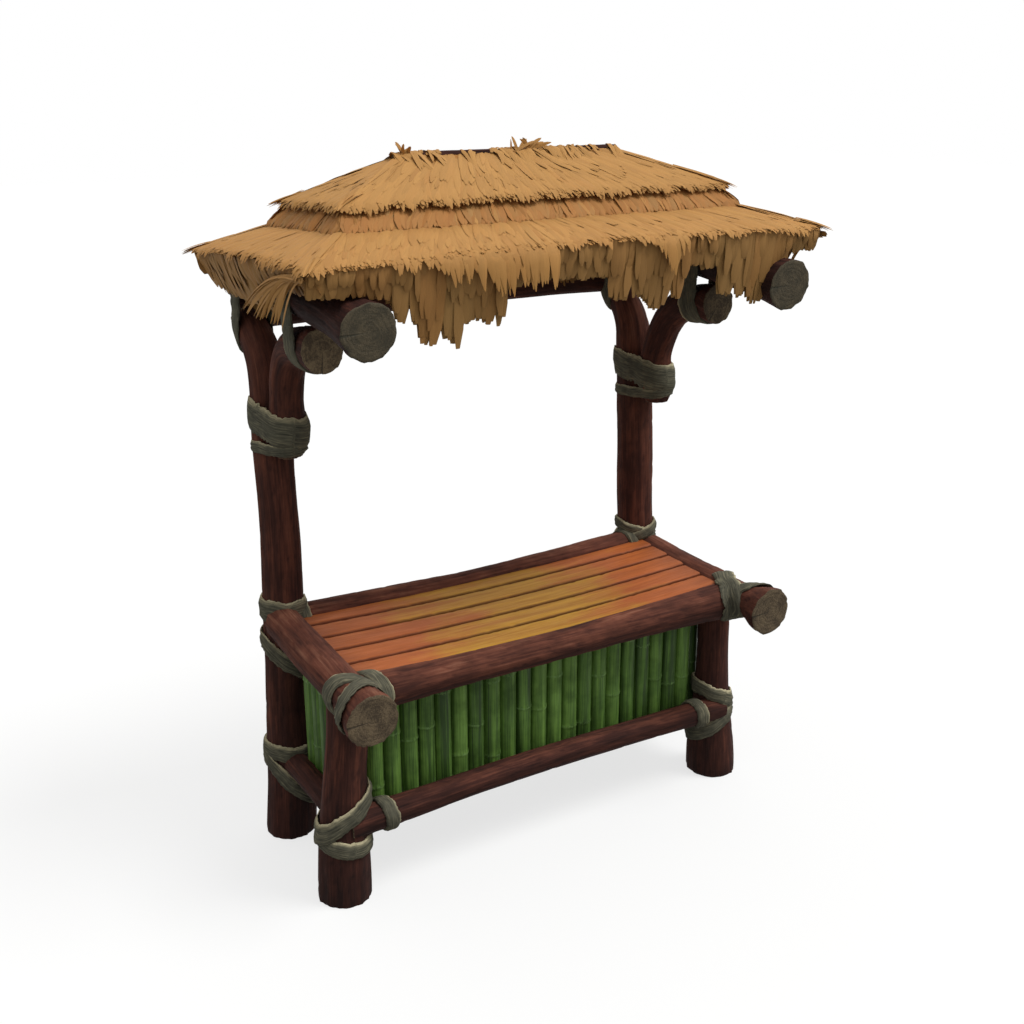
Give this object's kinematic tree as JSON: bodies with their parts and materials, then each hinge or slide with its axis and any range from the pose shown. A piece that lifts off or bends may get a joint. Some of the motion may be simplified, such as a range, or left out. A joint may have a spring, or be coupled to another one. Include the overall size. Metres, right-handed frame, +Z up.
{
  "type": "wooden market stall",
  "caption": "Open market stall of lashed round logs with a plank counter, green bamboo panels under it and a two-tier hipped thatch roof on forked posts.",
  "frame": {"origin": "on the ground, under the centre of the stall's outline", "axes": "+X along the counter, to the right for a customer; +Y from the customer side to the seller side; +Z up"},
  "size_m": [1.97, 1.1358, 2.5735],
  "materials": {
    "log": "dark red-brown peeled log, satin",
    "plank": "orange sawn plank, worn",
    "bamboo": "green bamboo cane, slightly glossy",
    "thatch": "dry golden straw",
    "lashing": "grey-olive fibre strap, matt"
  },
  "bodies": {
    "root": {"bamboo_panel_front": "bamboo", "bamboo_panel_left": "bamboo", "bamboo_panel_rear": "bamboo", "bamboo_panel_right": "bamboo", "bottom_rail_front": "log", "bottom_rail_left": "log", "bottom_rail_rear": "log", "bottom_rail_right": "log", "counter_lashings_front": "lashing", "counter_lashings_rear": "lashing", "counter_plank_1": "plank", "counter_plank_2": "plank", "counter_plank_3": "plank", "counter_plank_4": "plank", "counter_plank_5": "plank", "counter_rail_front": "log", "counter_rail_rear": "log", "counter_side_log_left": "log", "counter_side_log_right": "log", "foot_lashings_front": "lashing", "foot_lashings_rear": "lashing", "fork_band_left": "lashing", "fork_band_right": "lashing", "fork_limb_left": "log", "fork_limb_right": "log", "fork_tip_lashings": "lashing", "front_post_left": "log", "front_post_right": "log", "rear_post_left": "log", "rear_post_right": "log", "ridge_pole": "log", "roof_beam_front": "log", "roof_beam_rear": "log", "roof_side_log_left": "log", "roof_side_log_right": "log", "thatch_fringe_front": "thatch", "thatch_fringe_left": "thatch", "thatch_fringe_rear": "thatch", "thatch_fringe_right": "thatch", "thatch_lower_tier": "thatch", "thatch_neck": "thatch", "thatch_upper_tier": "thatch", "tie_beam_rear": "log"}
  },
  "joints": []
}
